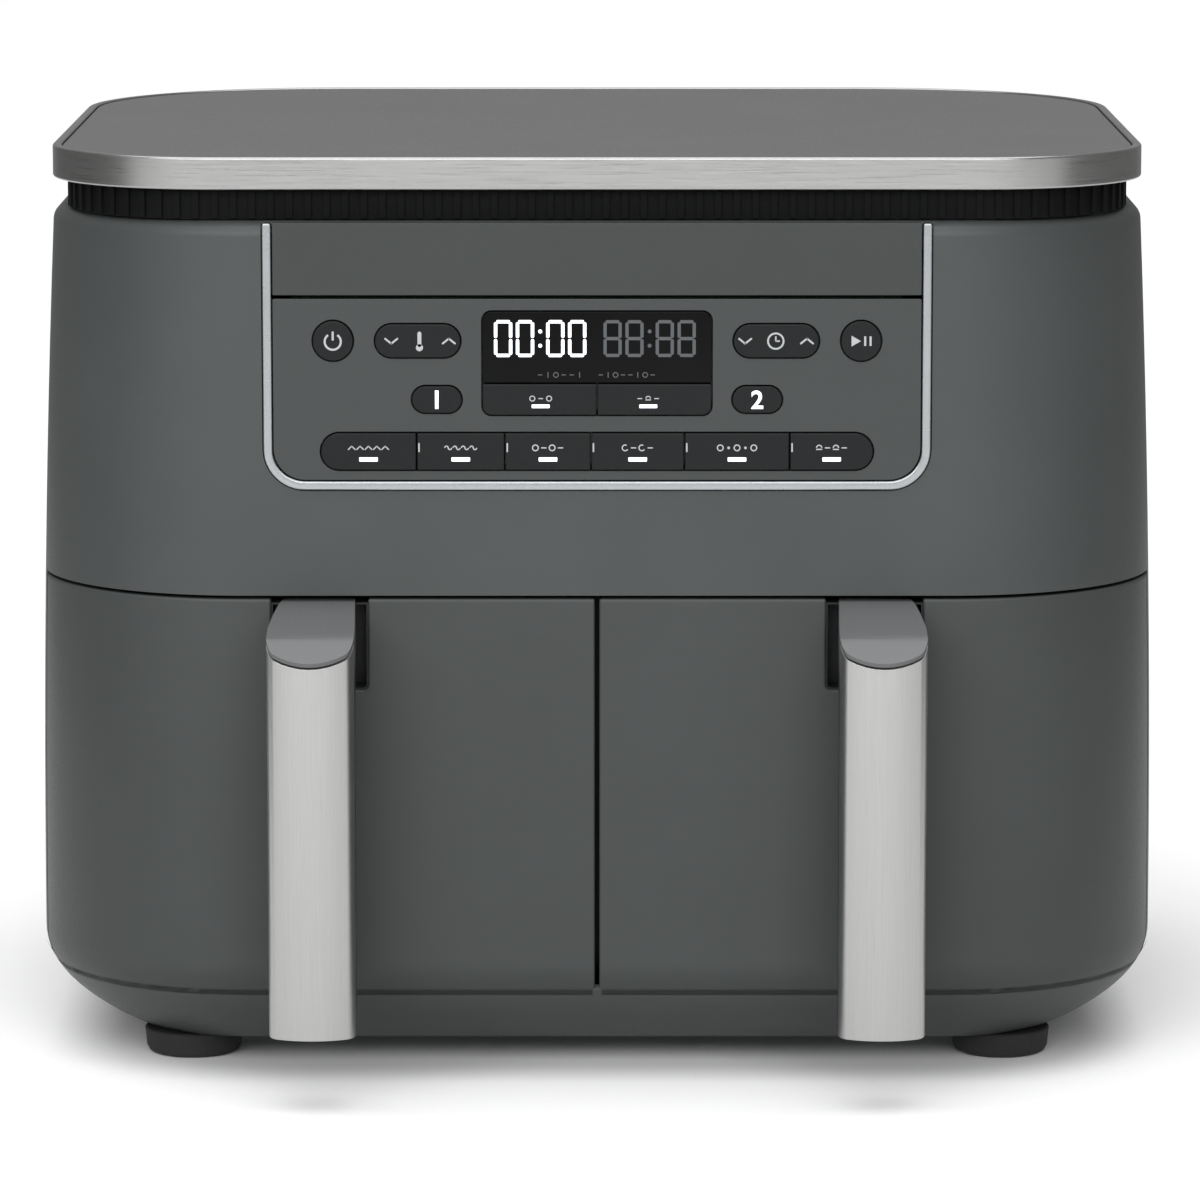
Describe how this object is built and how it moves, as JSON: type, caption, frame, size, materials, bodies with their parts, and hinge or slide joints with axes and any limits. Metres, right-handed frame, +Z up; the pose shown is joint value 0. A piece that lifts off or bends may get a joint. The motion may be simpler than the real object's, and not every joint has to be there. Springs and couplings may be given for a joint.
{
  "type": "dual-drawer air fryer",
  "caption": "Countertop air fryer with side-by-side sliding baskets, a rounded slate-grey housing, a steel-rimmed lid, a touch panel and long hanging drawer handles.",
  "frame": {"origin": "on the table, under the middle of the overall box", "axes": "+X across the front from left to right as seen from the front, +Z up, and the front with its handles faces -Y"},
  "size_m": [0.385, 0.358, 0.315],
  "materials": {
    "housing_grey": "moulded in slate grey, fine matt texture",
    "panel_grey": "moulded and painted slate grey, satin",
    "black_plastic": "moulded in black, matt",
    "key_black": "smooth black key tops",
    "brushed_steel": "brushed lengthways, satin",
    "chrome": "plated, bright",
    "neck_grey": "moulded in mid grey, matt",
    "lid_grey": "satin painted, mid grey",
    "rubber": "matt",
    "nonstick": "dark non-stick coating, satin",
    "galvanised": "bare sheet, dull",
    "heater_metal": "darkened by heat",
    "motor_metal": "bare metal",
    "board_green": "solder resist",
    "display_glass": "tinted, glossy",
    "display_lit": "lit white symbols"
  },
  "bodies": {
    "body": {"base_tray": "housing_grey", "foot_front_left": "rubber", "foot_front_right": "rubber", "foot_rear_left": "rubber", "foot_rear_right": "rubber", "housing_shell": "housing_grey", "front_frame": "black_plastic", "rear_cover": "black_plastic", "cord_gland": "rubber", "vent_band": "black_plastic", "lid_rim": "brushed_steel", "top_plate": "lid_grey", "panel_trim": "chrome", "upper_fascia": "panel_grey", "control_fascia": "panel_grey", "display_window": "display_glass", "control_board": "board_green", "power_board": "board_green", "cavity_liner_left": "galvanised", "cavity_liner_right": "galvanised", "heat_shield_left": "galvanised", "heat_shield_right": "galvanised", "heater_coil_left": "heater_metal", "heater_coil_right": "heater_metal", "fan_motor_left": "motor_metal", "fan_motor_right": "motor_metal", "drawer_switch_left": "black_plastic", "drawer_switch_right": "black_plastic"},
    "drawer_left": {"drawer_front_left": "housing_grey", "drawer_back_left": "black_plastic", "basket_left": "nonstick", "handle_grip_left": "neck_grey", "handle_cover_left": "brushed_steel"},
    "drawer_right": {"drawer_front_right": "housing_grey", "drawer_back_right": "black_plastic", "basket_right": "nonstick", "handle_grip_right": "neck_grey", "handle_cover_right": "brushed_steel"},
    "plate_left": {"crisper_plate_left": "nonstick"},
    "plate_right": {"crisper_plate_right": "nonstick"},
    "fan_left": {"motor_shaft_left": "motor_metal", "convection_fan_left": "galvanised", "cooling_fan_left": "black_plastic"},
    "fan_right": {"motor_shaft_right": "motor_metal", "convection_fan_right": "galvanised", "cooling_fan_right": "black_plastic"},
    "power_key_body": {"power_key": "key_black"},
    "start_key_body": {"start_key": "key_black"},
    "zone_one_key_body": {"zone_one_key": "key_black"},
    "zone_two_key_body": {"zone_two_key": "key_black"},
    "sync_key_body": {"sync_key": "key_black"},
    "match_key_body": {"match_key": "key_black"},
    "function_key_1_body": {"function_key_1": "key_black"},
    "function_key_2_body": {"function_key_2": "key_black"},
    "function_key_3_body": {"function_key_3": "key_black"},
    "function_key_4_body": {"function_key_4": "key_black"},
    "function_key_5_body": {"function_key_5": "key_black"},
    "function_key_6_body": {"function_key_6": "key_black"},
    "temperature_rocker_body": {"temperature_rocker": "key_black"},
    "time_rocker_body": {"time_rocker": "key_black"}
  },
  "joints": [
    {"name": "drawer_left_slide", "type": "slide", "parent": "body", "child": "drawer_left", "axis": [0, -1, 0], "range_m": [0, 0.27]},
    {"name": "drawer_right_slide", "type": "slide", "parent": "body", "child": "drawer_right", "axis": [0, -1, 0], "range_m": [0, 0.27]},
    {"name": "plate_left_lift", "type": "slide", "parent": "drawer_left", "child": "plate_left", "axis": [0, 0, 1], "range_m": [0, 0.085]},
    {"name": "plate_right_lift", "type": "slide", "parent": "drawer_right", "child": "plate_right", "axis": [0, 0, 1], "range_m": [0, 0.085]},
    {"name": "fan_left_spin", "type": "hinge", "parent": "body", "child": "fan_left", "pos_m": [-0.08675, 0.0022, 0.2003], "axis": [0, 0, 1], "continuous": true},
    {"name": "fan_right_spin", "type": "hinge", "parent": "body", "child": "fan_right", "pos_m": [0.08675, 0.0022, 0.2003], "axis": [0, 0, 1], "continuous": true},
    {"name": "power_key_press", "type": "slide", "parent": "body", "child": "power_key_body", "axis": [0, 1, 0], "range_m": [0, 0.0008], "stiffness_N_per_m": 1500},
    {"name": "start_key_press", "type": "slide", "parent": "body", "child": "start_key_body", "axis": [0, 1, 0], "range_m": [0, 0.0008], "stiffness_N_per_m": 1500},
    {"name": "zone_one_key_press", "type": "slide", "parent": "body", "child": "zone_one_key_body", "axis": [0, 1, 0], "range_m": [0, 0.0008], "stiffness_N_per_m": 1500},
    {"name": "zone_two_key_press", "type": "slide", "parent": "body", "child": "zone_two_key_body", "axis": [0, 1, 0], "range_m": [0, 0.0008], "stiffness_N_per_m": 1500},
    {"name": "sync_key_press", "type": "slide", "parent": "body", "child": "sync_key_body", "axis": [0, 1, 0], "range_m": [0, 0.0008], "stiffness_N_per_m": 1500},
    {"name": "match_key_press", "type": "slide", "parent": "body", "child": "match_key_body", "axis": [0, 1, 0], "range_m": [0, 0.0008], "stiffness_N_per_m": 1500},
    {"name": "function_key_1_press", "type": "slide", "parent": "body", "child": "function_key_1_body", "axis": [0, 1, 0], "range_m": [0, 0.0008], "stiffness_N_per_m": 1500},
    {"name": "function_key_2_press", "type": "slide", "parent": "body", "child": "function_key_2_body", "axis": [0, 1, 0], "range_m": [0, 0.0008], "stiffness_N_per_m": 1500},
    {"name": "function_key_3_press", "type": "slide", "parent": "body", "child": "function_key_3_body", "axis": [0, 1, 0], "range_m": [0, 0.0008], "stiffness_N_per_m": 1500},
    {"name": "function_key_4_press", "type": "slide", "parent": "body", "child": "function_key_4_body", "axis": [0, 1, 0], "range_m": [0, 0.0008], "stiffness_N_per_m": 1500},
    {"name": "function_key_5_press", "type": "slide", "parent": "body", "child": "function_key_5_body", "axis": [0, 1, 0], "range_m": [0, 0.0008], "stiffness_N_per_m": 1500},
    {"name": "function_key_6_press", "type": "slide", "parent": "body", "child": "function_key_6_body", "axis": [0, 1, 0], "range_m": [0, 0.0008], "stiffness_N_per_m": 1500},
    {"name": "temperature_rocker_tilt", "type": "hinge", "parent": "body", "child": "temperature_rocker_body", "pos_m": [-0.0598, -0.1297, 0.2537], "axis": [0, 0, 1], "range_deg": [-2.5, 2.5], "stiffness_Nm_per_rad": 0.35},
    {"name": "time_rocker_tilt", "type": "hinge", "parent": "body", "child": "time_rocker_body", "pos_m": [0.0598, -0.1297, 0.2537], "axis": [0, 0, 1], "range_deg": [-2.5, 2.5], "stiffness_Nm_per_rad": 0.35}
  ]
}
